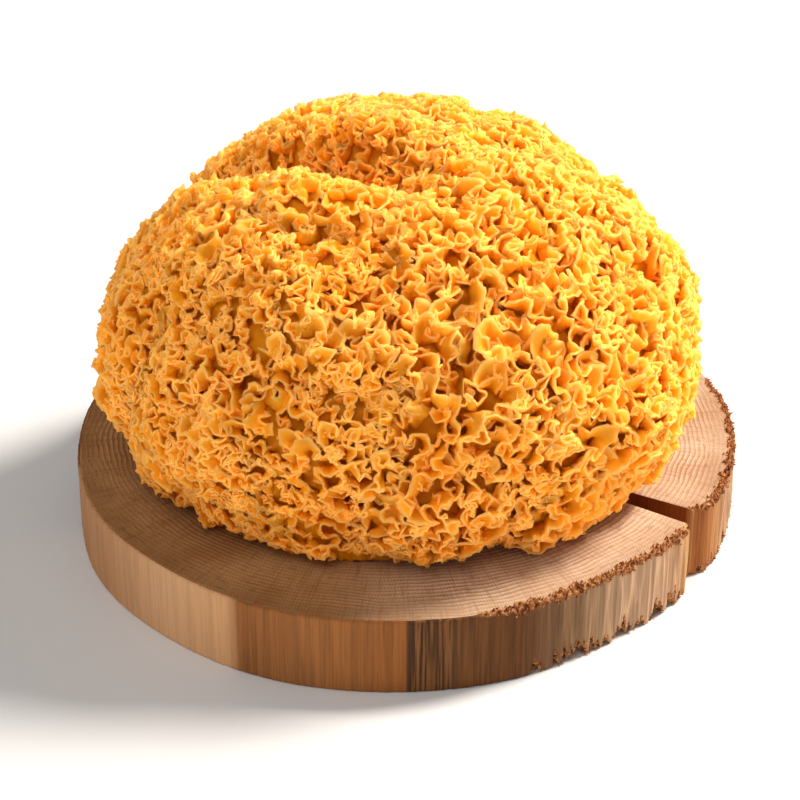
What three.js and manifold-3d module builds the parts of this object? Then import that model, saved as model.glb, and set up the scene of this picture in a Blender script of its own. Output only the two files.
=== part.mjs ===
// Snow fungus head resting on a sawn log slice.
//
// Two loose pieces: the log slice, a barkless round with one radial drying split, and the fungus,
// one grown head that stands on the slice under its own weight.
// Millimetres, +Z up. The origin is the middle of the slice's sawn underside, and -Y is the front.

import * as THREE from "three";
import { mergeVertices } from "three/addons/utils/BufferGeometryUtils.js";
import Module from "manifold-3d";

const wasm = await Module();
wasm.setup();

// ---- Driving dimensions: log slice ----
const SLICE_RADIUS = 85;
const SLICE_THICKNESS = 20;
const SLICE_EDGE = 0.7; // worn edge round both sawn faces
const SLICE_STEPS = 132; // points round the outline
// How the trunk strays from a circle: waves round the rim, height in mm, place of the first crest.
const SLICE_WAVES = [
  { count: 2, height: 1.1, crest: 58 },
  { count: 3, height: 0.8, crest: 11 },
  { count: 5, height: 0.35, crest: -14 },
  { count: 9, height: 0.25, crest: 9 },
];

// ---- Driving dimensions: drying split, a radial wedge that opens from the pith to the rim ----
const SPLIT_DIRECTION = -31.2; // degrees from +X, seen from above
const SPLIT_ANGLE = 4.8; // degrees between the two walls
const SPLIT_START = 6; // distance from the middle where the wedge begins to open
const WEDGE_REACH = 1.3 * SLICE_RADIUS; // length of the cutting wedge, clear of the rim

// ---- Driving dimensions: fungus head ----
const HEAD_HALF_WIDTH = 75; // along X, at its widest
const HEAD_HALF_DEPTH = 74; // along Y, at its widest
const HEAD_WIDEST = 30; // height of the widest level over the slice
const HEAD_HEIGHT = 88; // crown over the slice
const HEAD_UNDERCUT = 60; // how far down the lower half would close if it weren't cut flat
const CROWN_POWER = 1.9; // 2 is an ellipse, less is more pointed
const UNDERCUT_POWER = 1.75;
const HEAD_CENTRE = new THREE.Vector2(-1.7, -3.1); // place on the slice
const HEAD_DETAIL = 15; // splits of each edge of the starting icosahedron
const CONTACT_GAP = 0.3; // clearance between the cut base and the slice

// The fold across the crown, between the front lobe and the back lobe, seen from above.
const FOLD_FROM = new THREE.Vector2(-58, 14);
const FOLD_TO = new THREE.Vector2(16, -36);
const FOLD_DEPTH = 7;
const FOLD_WIDTH = 7;
const FOLD_FADE = 0.55; // share of its length over which it fades out towards FOLD_TO
const FOLD_CLIMB = 0.5 * HEAD_HEIGHT; // height over the widest level where it is at its full depth

// Relief of the frond tufts.
const LOBE_SPACING = 46;
const LOBE_DEPTH = 2.2;
const TUFT_SPACING = 19;
const TUFT_DEPTH = 2.6;
const LABYRINTH_PEAK = 1.5; // largest value that the sum of sines below reaches

const radians = THREE.MathUtils.degToRad;

/** Turns a three.js geometry into a manifold-3d solid. */
function toSolid(geometry) {
  const bare = geometry.clone();
  bare.deleteAttribute("normal");
  bare.deleteAttribute("uv");
  const merged = mergeVertices(bare, 1e-4);
  return new wasm.Manifold(
    new wasm.Mesh({
      numProp: 3,
      vertProperties: merged.attributes.position.array,
      triVerts: new Uint32Array(merged.index.array),
    }),
  );
}

/** Turns a manifold-3d solid back into a geometry with flat normals. */
function toGeometry(solid) {
  const mesh = solid.getMesh();
  const indexed = new THREE.BufferGeometry();
  indexed.setAttribute("position", new THREE.BufferAttribute(mesh.vertProperties, 3));
  indexed.setIndex(new THREE.BufferAttribute(mesh.triVerts, 1));
  const flat = indexed.toNonIndexed();
  flat.computeVertexNormals();
  return flat;
}

/** Radius of the slice's rim in a direction, in radians from +X. */
function rimRadius(angle) {
  const stray = SLICE_WAVES.map(
    (wave) => wave.height * Math.cos(wave.count * (angle - radians(wave.crest))),
  );
  return SLICE_RADIUS + stray.reduce((sum, height) => sum + height, 0);
}

/** The rim as points, moved so that its bounding box is centred on the origin. */
function rimPoints(inset) {
  const points = [];
  for (let step = 0; step < SLICE_STEPS; step++) {
    const angle = (2 * Math.PI * step) / SLICE_STEPS;
    const radius = rimRadius(angle) - inset;
    points.push(new THREE.Vector2(radius * Math.cos(angle), radius * Math.sin(angle)));
  }
  const middle = new THREE.Box2().setFromPoints(points).getCenter(new THREE.Vector2());
  return points.map((point) => point.sub(middle));
}

/** The wedge of air in the split, taller than the slice on both sides. */
function splitWedge() {
  const along = (angle, distance) =>
    new THREE.Vector2(distance * Math.cos(angle), distance * Math.sin(angle));
  const middle = radians(SPLIT_DIRECTION);
  const half = radians(SPLIT_ANGLE) / 2;
  const apex = along(middle, SPLIT_START);
  const outline = new THREE.Shape([
    apex,
    along(middle - half, WEDGE_REACH),
    along(middle + half, WEDGE_REACH),
  ]);
  const wedge = new THREE.ExtrudeGeometry(outline, {
    depth: 2 * SLICE_THICKNESS,
    bevelEnabled: false,
  });
  return wedge.translate(0, 0, -SLICE_THICKNESS / 2);
}

/** The log slice: a round with worn edges, less its split. */
function makeSlice() {
  const round = new THREE.ExtrudeGeometry(new THREE.Shape(rimPoints(SLICE_EDGE)), {
    depth: SLICE_THICKNESS - 2 * SLICE_EDGE,
    bevelEnabled: true,
    bevelThickness: SLICE_EDGE,
    bevelSize: SLICE_EDGE,
    bevelSegments: 1,
    curveSegments: 1,
  });
  round.translate(0, 0, SLICE_EDGE);
  const geometry = toGeometry(toSolid(round).subtract(toSolid(splitWedge())));
  const material = new THREE.MeshStandardMaterial({
    color: 0xbf9066,
    roughness: 0.78,
    metalness: 0,
    flatShading: true,
  });
  const mesh = new THREE.Mesh(geometry, material);
  mesh.name = "log_slice";
  return mesh;
}

/** A smooth labyrinth in space, from -1 to 1, with the given distance between its walls. */
function labyrinth(point, spacing) {
  const { x, y, z } = point.clone().multiplyScalar((2 * Math.PI) / spacing);
  const sum =
    Math.sin(x) * Math.cos(y) + Math.sin(y) * Math.cos(z) + Math.sin(z) * Math.cos(x);
  return sum / LABYRINTH_PEAK;
}

/** Distance from the head's centre to its smooth outer surface in a unit direction. */
function smoothRadius(direction) {
  const flat = Math.hypot(direction.x / HEAD_HALF_WIDTH, direction.y / HEAD_HALF_DEPTH);
  const above = direction.z >= 0;
  const power = above ? CROWN_POWER : UNDERCUT_POWER;
  const tall = above ? HEAD_HEIGHT - HEAD_WIDEST : HEAD_UNDERCUT;
  const upright = Math.abs(direction.z) / tall;
  return Math.pow(Math.pow(flat, power) + Math.pow(upright, power), -1 / power);
}

/** How deep the fold across the crown is at a point measured from the head's centre. */
function foldDepth(point) {
  const place = new THREE.Vector2(point.x, point.y).add(HEAD_CENTRE);
  const run = FOLD_TO.clone().sub(FOLD_FROM);
  const share = place.clone().sub(FOLD_FROM).dot(run) / run.lengthSq();
  const aside = place.clone().sub(FOLD_FROM).cross(run) / run.length();
  const fade = THREE.MathUtils.smoothstep(1 - share, 0, FOLD_FADE);
  const crown = THREE.MathUtils.smoothstep(point.z, 0, FOLD_CLIMB);
  return FOLD_DEPTH * fade * crown * Math.exp(-0.5 * Math.pow(aside / FOLD_WIDTH, 2));
}

/** A unit icosphere with nothing but its positions. */
function bareIcosphere(detail) {
  const sphere = new THREE.IcosahedronGeometry(1, detail);
  sphere.deleteAttribute("normal");
  sphere.deleteAttribute("uv");
  return sphere;
}

/** The fungus head: a dome of lobes and tufts on a flat cut base. */
function makeHead() {
  const geometry = mergeVertices(bareIcosphere(HEAD_DETAIL), 1e-5);
  const centreHeight = SLICE_THICKNESS + HEAD_WIDEST;
  const baseDrop = HEAD_WIDEST - CONTACT_GAP;
  const position = geometry.attributes.position;
  const direction = new THREE.Vector3();
  for (let index = 0; index < position.count; index++) {
    direction.fromBufferAttribute(position, index).normalize();
    const point = direction.clone().multiplyScalar(smoothRadius(direction));
    const valley =
      LOBE_DEPTH * (1 - Math.abs(labyrinth(point, LOBE_SPACING))) +
      TUFT_DEPTH * (1 - Math.abs(labyrinth(point, TUFT_SPACING))) +
      foldDepth(point);
    let radius = point.length() + LOBE_DEPTH / 2 - valley;
    if (direction.z < 0) radius = Math.min(radius, -baseDrop / direction.z);
    direction.multiplyScalar(radius);
    position.setXYZ(index, direction.x, direction.y, direction.z);
  }
  geometry.computeVertexNormals();
  const material = new THREE.MeshStandardMaterial({ color: 0xf0a830, roughness: 0.5, metalness: 0 });
  const mesh = new THREE.Mesh(geometry, material);
  mesh.name = "fungus_head";
  mesh.position.set(HEAD_CENTRE.x, HEAD_CENTRE.y, centreHeight);
  return mesh;
}

const snowFungus = new THREE.Group();
snowFungus.add(makeSlice(), makeHead());

export default snowFungus;
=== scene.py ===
"""Looks of a snow fungus head on a sawn log slice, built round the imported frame.

Lengths are in metres, in the frame of the part: +Z up, -Y the front, the origin in the middle of
the slice's underside. The head's fronds are ribbons that a Geometry Nodes tree grows from lines
traced over the head's core. The slice is one closed body with worn, torn and split edges.
"""

import logging
import math
from dataclasses import dataclass, field
from functools import partial
from typing import Any

import bmesh
import bpy
import numpy as np
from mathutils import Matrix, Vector


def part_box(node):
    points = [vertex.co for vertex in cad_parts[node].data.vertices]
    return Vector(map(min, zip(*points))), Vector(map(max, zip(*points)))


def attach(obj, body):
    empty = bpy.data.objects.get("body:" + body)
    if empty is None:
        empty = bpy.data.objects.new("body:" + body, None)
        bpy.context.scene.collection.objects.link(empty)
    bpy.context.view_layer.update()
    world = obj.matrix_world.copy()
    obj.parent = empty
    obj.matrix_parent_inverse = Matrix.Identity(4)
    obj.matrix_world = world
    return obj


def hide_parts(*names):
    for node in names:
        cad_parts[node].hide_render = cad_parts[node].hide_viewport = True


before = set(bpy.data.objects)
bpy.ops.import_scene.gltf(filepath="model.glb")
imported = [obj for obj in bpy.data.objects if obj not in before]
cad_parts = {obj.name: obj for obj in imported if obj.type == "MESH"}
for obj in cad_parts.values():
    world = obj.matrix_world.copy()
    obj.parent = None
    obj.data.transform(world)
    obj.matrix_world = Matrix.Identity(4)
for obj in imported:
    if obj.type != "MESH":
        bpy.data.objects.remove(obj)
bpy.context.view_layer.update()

LOG = logging.getLogger("snow_fungus")
MM = 0.001
BODY = "root"
HEAD_NODE = "fungus_head"
SLICE_NODE = "log_slice"

MATH = "ShaderNodeMath"
VECTOR = "ShaderNodeVectorMath"
NOISE = "ShaderNodeTexNoise"
RANGE = "ShaderNodeMapRange"
MIX = "ShaderNodeMix"
SHADER = "ShaderNodeBsdfPrincipled"
STORED = "ShaderNodeAttribute"
NAMED = "GeometryNodeInputNamedAttribute"
STORE = "GeometryNodeStoreNamedAttribute"
MOVE = "GeometryNodeSetPosition"
SET_MATERIAL = "GeometryNodeSetMaterial"
WAVE_TEXTURE_RATE = 20  # radians of a wave texture's phase for each unit of length at scale 1
ICOSPHERE_SPLITS = 7  # 40,962 points over the head's core

Array = np.ndarray


# ---------------------------------------------------------------------------------------------
# Small helpers
# ---------------------------------------------------------------------------------------------


def linear(code: str) -> tuple[float, float, float, float]:
    """Turns an sRGB hex colour into linear RGBA.

    Args:
        code: six hex digits, such as "E8A030".

    Returns:
        Red, green, blue and alpha, from 0 to 1.
    """
    shares = [int(code[place : place + 2], 16) / 255 for place in (0, 2, 4)]
    curve = [s / 12.92 if s <= 0.04045 else ((s + 0.055) / 1.055) ** 2.4 for s in shares]
    return (*curve, 1.0)


def add_node(
    tree: Any, kind: str, links: Any = (), out: int | str | None = None, **settings: Any
) -> Any:
    """Adds one node with its settings, values and links.

    Args:
        tree: the node tree.
        kind: Blender's type name of the node.
        links: value of each input, or the output socket that feeds it, in a list from the first
            input on or in a dict by input name or number.
        out: name or number of the output to give back.
        **settings: attributes of the node itself.

    Returns:
        The new node, or the output socket that out names.
    """
    node = tree.nodes.new(kind)
    for name, value in settings.items():
        setattr(node, name, value)
    for key, value in (links if isinstance(links, dict) else dict(enumerate(links))).items():
        if isinstance(value, bpy.types.NodeSocket):
            tree.links.new(value, node.inputs[key])
        else:
            node.inputs[key].default_value = value
    return node if out is None else node.outputs[out]


def rise(low: float, high: float, top: float = 1.0) -> dict[str, float]:
    """Settings of a range that rises from 0 at low to top at high."""
    return {"From Min": low, "From Max": high, "To Max": top}


def new_material(name: str) -> tuple[bpy.types.Material, Any]:
    """Makes an empty material, and the function that adds a node to its tree."""
    made = bpy.data.materials.new(name)
    made.use_nodes = True
    made.node_tree.nodes.clear()
    return made, partial(add_node, made.node_tree)


def grow_mesh(name: str, mesh: bpy.types.Mesh, tree: bpy.types.NodeTree, sizes: dict) -> Any:
    """Runs a Geometry Nodes tree over a mesh.

    Args:
        name: name of the piece.
        mesh: what the tree starts from. It is removed afterwards.
        tree: the Geometry Nodes tree.
        sizes: value of each named input of the tree.

    Returns:
        The result as a plain mesh object, linked to the scene.
    """
    source = bpy.data.objects.new(name + "_source", mesh)
    bpy.context.scene.collection.objects.link(source)
    modifier = source.modifiers.new("grow", "NODES")
    modifier.node_group = tree
    for item in tree.interface.items_tree:
        if item.name in sizes and item.in_out == "INPUT":
            modifier[item.identifier] = sizes[item.name]
    bpy.context.view_layer.update()
    ready = source.evaluated_get(bpy.context.evaluated_depsgraph_get())
    grown = bpy.data.meshes.new_from_object(ready)
    bpy.data.objects.remove(source)
    bpy.data.meshes.remove(mesh)
    grown.name = name
    piece = bpy.data.objects.new(name, grown)
    bpy.context.scene.collection.objects.link(piece)
    return piece


def growing_tree(name: str, inputs: dict[str, str]) -> tuple[bpy.types.NodeTree, Any, Any]:
    """Makes an empty Geometry Nodes tree.

    Args:
        name: name of the tree.
        inputs: socket type, such as "Float", of each named input after the geometry.

    Returns:
        The tree, the function that adds a node to it, and the outputs of its input node.
    """
    tree = bpy.data.node_groups.new(name, "GeometryNodeTree")
    tree.interface.new_socket("Geometry", in_out="INPUT", socket_type="NodeSocketGeometry")
    tree.interface.new_socket("Geometry", in_out="OUTPUT", socket_type="NodeSocketGeometry")
    for label, kind in inputs.items():
        tree.interface.new_socket(label, in_out="INPUT", socket_type=f"NodeSocket{kind}")
    return tree, partial(add_node, tree), add_node(tree, "NodeGroupInput").outputs


def smoothstep(low: float, high: float, value: Array) -> Array:
    """Rises smoothly from 0 at low to 1 at high."""
    share = np.clip((value - low) / (high - low), 0.0, 1.0)
    return share * share * (3 - 2 * share)


def unit(vectors: Array) -> Array:
    """Rows scaled to length 1."""
    return vectors / np.maximum(np.linalg.norm(vectors, axis=-1, keepdims=True), 1e-12)


def angle_gap(first: Array, second: float) -> Array:
    """Signed difference of two angles in radians, from -pi to pi."""
    return (first - second + math.pi) % (2 * math.pi) - math.pi


class WaveField:
    """Smooth random field with one typical wavelength, made of plane waves. Its spread is 1."""

    def __init__(self, wavelength: float, seed: int, waves: int = 40, spread: float = 0.15) -> None:
        """Draws the waves.

        Args:
            wavelength: typical distance between crests.
            seed: seed of the random draws.
            waves: how many plane waves are added up.
            spread: relative spread of the wavelengths.
        """
        draw = np.random.default_rng(seed)
        heading = unit(draw.normal(size=(waves, 3)))
        length = wavelength * np.exp(draw.normal(0, spread, size=(waves, 1)))
        self.vectors = heading * 2 * math.pi / length
        self.phases = draw.uniform(0, 2 * math.pi, waves)
        self.scale = math.sqrt(2 / waves)

    def at(self, points: Array) -> Array:
        """Values at points, one per row."""
        return np.cos(points @ self.vectors.T + self.phases).sum(1) * self.scale


def mesh_object(name: str, vertices: Array, faces: list, materials: list) -> bpy.types.Object:
    """Makes a smooth-shaded mesh object at the origin.

    Args:
        name: the object's name.
        vertices: one row per vertex.
        faces: vertex numbers of each face.
        materials: the object's materials, in slot order.

    Returns:
        The object, linked to the scene.
    """
    mesh = bpy.data.meshes.new(name)
    mesh.from_pydata(vertices.tolist(), [], faces)
    mesh.polygons.foreach_set("use_smooth", [True] * len(mesh.polygons))
    for material in materials:
        mesh.materials.append(material)
    made = bpy.data.objects.new(name, mesh)
    bpy.context.scene.collection.objects.link(made)
    return made


def store(mesh: bpy.types.Mesh, name: str, values: Array) -> None:
    """Stores a float or a vector for each vertex as a named attribute."""
    kind, key = ("FLOAT_VECTOR", "vector") if values.ndim == 2 else ("FLOAT", "value")
    layer = mesh.attributes.new(name, kind, "POINT")
    layer.data.foreach_set(key, np.ascontiguousarray(values, np.float32).ravel())


def declare(piece: bpy.types.Object, node: str) -> None:
    """Rides a finished piece on the body and hides the node it stands for."""
    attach(piece, BODY)
    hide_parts(node)
    triangles = sum(len(face.vertices) - 2 for face in piece.data.polygons)
    LOG.info("%s: %d triangles", piece.name, triangles)


# ---------------------------------------------------------------------------------------------
# Finishes
# ---------------------------------------------------------------------------------------------


@dataclass(frozen=True)
class FungusFlesh:
    """Fresh jelly fungus: a moist translucent gel, grown in thin sheets.

    Light goes into it and comes out warm, so the thick roots look orange, the faces golden and
    the thin edges pale. The colour ramp by height also paints part of this into the base colour:
    the more saturated orange at the roots is painted shade deep in the gaps between the fronds,
    and the pale colours at the edge are a painted highlight on the lit rims. Its skin is smooth
    and slightly wet.
    """

    # root and face carry painted shade deep in the gaps; high and edge carry a painted highlight on
    # the lit rims
    root: str = "FB9E0E"
    face: str = "FBA51D"
    high: str = "FBAD30"
    edge: str = "FDC769"
    blotch: str = "FAA012"
    blotch_size: float = 14 * MM
    roughness: float = 0.5
    scatter_depth: float = 2.6 * MM
    crinkle_size: float = 1.3 * MM
    crinkle_height: float = 0.12 * MM

    def material(self) -> bpy.types.Material:
        """Builds the material. It reads the attribute height, 0 at the root and 1 at the edge."""
        made, add = new_material("fungus_flesh")
        height = add(STORED, out="Fac", attribute_name="height")
        place = add("ShaderNodeTexCoord", out="Object")
        scale = 1 / self.blotch_size
        cloud = add(NOISE, {"Vector": place, "Scale": scale, "Detail": 3.0}, "Fac")
        # Colour by height: the flesh's own colour from thick roots to thin edges, plus painted shade
        # at the roots and a painted highlight at the pale edges
        ramp = add("ShaderNodeValToRGB", [height])
        stops = ramp.color_ramp.elements
        stops[0].position, stops[0].color = 0.0, linear(self.root)
        stops[1].position, stops[1].color = 0.45, linear(self.face)
        for spot, code in ((0.85, self.high), (1.0, self.edge)):
            stops.new(spot).color = linear(code)
        patch = add(RANGE, {"Value": cloud, **rise(0.45, 0.75, 0.45)}, "Result")
        colours = {0: patch, 6: ramp.outputs["Color"], 7: linear(self.blotch)}
        colour = add(MIX, colours, 2, data_type="RGBA")
        scale = 1 / self.crinkle_size
        folds = add(NOISE, {"Vector": place, "Scale": scale, "Detail": 2.0}, "Fac")
        relief = {"Height": folds, "Distance": self.crinkle_height, "Strength": 1.0}
        look = {
            "Base Color": colour,
            "Normal": add("ShaderNodeBump", relief, "Normal"),
            "Roughness": self.roughness,
            "IOR": 1.38,
            "Specular IOR Level": 0.15,
            "Subsurface Weight": 0.9,
            "Subsurface Radius": (1.0, 0.95, 0.8),
            "Subsurface Scale": self.scatter_depth,
        }
        shader = add(SHADER, look, "BSDF", subsurface_method="BURLEY")
        add("ShaderNodeOutputMaterial", {"Surface": shader})
        return made


@dataclass(frozen=True)
class EndGrain:
    """Sawn end grain of a ring-porous log: dry, matt and rough from the saw.

    Each year leaves a pale band and a darker one. Open pores show as short dark dashes, fine rays
    run out from the pith, and the saw's strokes cross it all in straight, even lines.
    """

    pale: str = "F3D3B4"
    year: str = "A7764A"
    pore: str = "835833"
    # Tint of the painted shadow that the head casts on the left and front of the top
    head_shadow_tint: str = "D4BE98"
    sapwood: str = "CBAA8A"
    ring: float = 1.3 * MM
    stroke: float = 0.7 * MM
    stroke_heading: float = -76.7
    stroke_depth: float = 0.03 * MM
    pith: tuple[float, float] = (-3 * MM, 2 * MM)

    def material(self) -> bpy.types.Material:
        """Builds the material. It reads the attributes rimward and torn."""
        made, add = new_material("wood_end_grain")
        place = add("ShaderNodeTexCoord", out="Object")
        offset = (-self.pith[0], -self.pith[1], 0.0)
        centred = add(VECTOR, [place, offset], 0, operation="ADD")
        flat = add(VECTOR, [centred, (1, 1, 0)], 0, operation="MULTIPLY")
        away = add(VECTOR, [flat], 1, operation="LENGTH")
        heading = add(VECTOR, [flat], 0, operation="NORMALIZE")
        bands = {
            "Vector": centred,
            "Scale": 2 * math.pi / WAVE_TEXTURE_RATE / self.ring,
            "Distortion": 9.0,
            "Detail": 2.0,
            "Detail Scale": 0.22,
        }
        style = {"wave_type": "RINGS", "rings_direction": "Z", "wave_profile": "SAW"}
        rings = add("ShaderNodeTexWave", bands, "Fac", **style)
        rays = self.radial_streaks(add, heading, away, 150.0, 9 * MM)
        pores = self.radial_streaks(add, heading, away, 26.0, 0.45 * MM)
        cloud = add(NOISE, {"Vector": place, "Scale": 60.0, "Detail": 3.0}, "Fac")
        spin = math.radians(self.stroke_heading + 90)
        across = (math.cos(spin), math.sin(spin), 0.0)
        strokes = add(VECTOR, [place, across], "Value", operation="DOT_PRODUCT")
        strokes = add(MATH, [strokes, 2 * math.pi / self.stroke], 0, operation="MULTIPLY")
        strokes = add(MATH, [cloud, 9.0, strokes], 0, operation="MULTIPLY_ADD")
        strokes = add(MATH, [strokes], 0, operation="SINE")
        year = add(RANGE, {"Value": rings, **rise(0.3, 1.0)}, "Result")
        patches = add(NOISE, {"Vector": place, "Scale": 34.0}, "Fac")
        patches = add(RANGE, {"Value": patches, **rise(0.38, 0.62, 0.75)}, "Result")
        patches = add(MATH, [patches, 0.25], 0, operation="ADD")
        year = add(MATH, [year, patches], 0, operation="MULTIPLY")
        rim = add(STORED, out="Fac", attribute_name="rimward")
        rim = add(MATH, [rim, 0.75], 0, operation="MULTIPLY")
        shares = [(year, self.year), (rim, self.sapwood)]
        for value, low, high, top, code in (
            (rays, 0.5, 0.75, 0.45, self.year),
            (pores, 0.58, 0.7, 0.4, self.pore),
            (strokes, 0.1, 1.0, 0.2, self.year),
            (cloud, 0.42, 0.7, 0.5, self.year),
        ):
            share = add(RANGE, {"Value": value, **rise(low, high, top)}, "Result")
            shares.append((share, code))
        colour = linear(self.pale)
        for share, code in shares:
            colour = add(MIX, {0: share, 6: colour, 7: linear(code)}, 2, data_type="RGBA")
        # Painted shadow: towards -X, with a noisy edge, the top is multiplied by a darker, yellower
        # tint. It stands in for the head's cast shadow and its warm bounce light on the wood.
        across = add("ShaderNodeSeparateXYZ", [place], "X")
        across = add(MATH, [cloud, 24 * MM, across], 0, operation="MULTIPLY_ADD")
        head_shadow = add(RANGE, {"Value": across, **rise(22 * MM, -8 * MM)}, "Result")
        tint = {0: head_shadow, 6: colour, 7: linear(self.head_shadow_tint)}
        colour = add(MIX, tint, 2, data_type="RGBA", blend_type="MULTIPLY")
        relief = add(MATH, [strokes, 0.6, rays], 0, operation="MULTIPLY_ADD")
        relief = add(MATH, [pores, -1.0, relief], 0, operation="MULTIPLY_ADD")
        finish_wood(add, torn_colour(add, colour), relief, self.stroke_depth, 0.8)
        return made

    @staticmethod
    def radial_streaks(add: Any, heading: Any, away: Any, turns: float, length: float) -> Any:
        """Noise that is fine round the pith and as long as given away from it."""
        around = add(VECTOR, {0: heading, "Scale": turns}, 0, operation="SCALE")
        out = add(MATH, [away, 1 / length], 0, operation="MULTIPLY")
        lift = add("ShaderNodeCombineXYZ", {"Z": out}, 0)
        where = add(VECTOR, [around, lift], 0, operation="ADD")
        return add(NOISE, {"Vector": where, "Scale": 1.0, "Detail": 1.0}, "Fac")


@dataclass(frozen=True)
class LongGrain:
    """Wood along the grain, on the barkless side or on the wall of the split.

    Fibres run straight up and down, so its colour and its relief are drawn out along Z. The side
    has weathered in zones, from fresh tan to dark stain, and the split's wall is still fresh.
    """

    name: str
    dark: str
    fibre: float = 0.6 * MM
    fibre_length: float = 26 * MM
    streak: float = 2.4 * MM
    depth: float = 0.34 * MM

    def material(self) -> bpy.types.Material:
        """Builds the material. It reads the attributes tone, weather and torn."""
        made, add = new_material(self.name)
        fine = fibre_streaks(add, self.fibre, self.fibre_length)
        broad = fibre_streaks(add, self.streak, 2 * self.fibre_length)
        tone = add(STORED, out="Color", attribute_name="tone")
        weather = add(STORED, out="Fac", attribute_name="weather")
        deep = add(MIX, {0: 0.82, 6: tone, 7: linear(self.dark)}, 2, data_type="RGBA")
        colour = tone
        for grain, low, high in ((fine, 0.44, 0.6), (broad, 0.48, 0.6)):
            lines = add(RANGE, {"Value": grain, **rise(low, high)}, "Result")
            lines = add(MATH, [lines, weather], 0, operation="MULTIPLY")
            colour = add(MIX, {0: lines, 6: colour, 7: deep}, 2, data_type="RGBA")
        finish_wood(add, torn_colour(add, colour), fine, -self.depth, 0.72)
        return made


def fibre_streaks(add: Any, width: float, length: float) -> Any:
    """Noise with one feature size across the grain and a longer one along it."""
    place = add("ShaderNodeTexCoord", out="Object")
    rates = (1 / width, 1 / width, 1 / length)
    where = add(VECTOR, [place, rates], 0, operation="MULTIPLY")
    return add(NOISE, {"Vector": where, "Scale": 1.0, "Detail": 2.0}, "Fac")


def torn_colour(add: Any, base: Any, dark: str = "7C4320", fresh: str = "D9985C") -> Any:
    """Covers a colour with torn fibres where the attribute torn is 1.

    Args:
        add: adds a node to the material's tree.
        base: colour socket of the sound wood.
        dark: colour in the depth between the fibres.
        fresh: colour of the newly bared fibres.

    Returns:
        The colour socket of both.
    """
    torn = add(STORED, out="Fac", attribute_name="torn")
    shreds = fibre_streaks(add, 0.9 * MM, 2.2 * MM)
    shreds = add(RANGE, {"Value": shreds, **rise(0.4, 0.6)}, "Result")
    fibres = add(MIX, {0: shreds, 6: linear(dark), 7: linear(fresh)}, 2, data_type="RGBA")
    return add(MIX, {0: torn, 6: base, 7: fibres}, 2, data_type="RGBA")


def finish_wood(add: Any, colour: Any, relief: Any, depth: float, roughness: float) -> None:
    """Gives a wood its shader: dry and nearly without gloss, with relief of the given depth."""
    relief = {"Height": relief, "Distance": depth, "Strength": 1.0}
    look = {
        "Base Color": colour,
        "Roughness": roughness,
        "Specular IOR Level": 0.2,
        "Normal": add("ShaderNodeBump", relief, "Normal"),
    }
    add("ShaderNodeOutputMaterial", {"Surface": add(SHADER, look, "BSDF")})


# ---------------------------------------------------------------------------------------------
# Fungus head
# ---------------------------------------------------------------------------------------------


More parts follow.
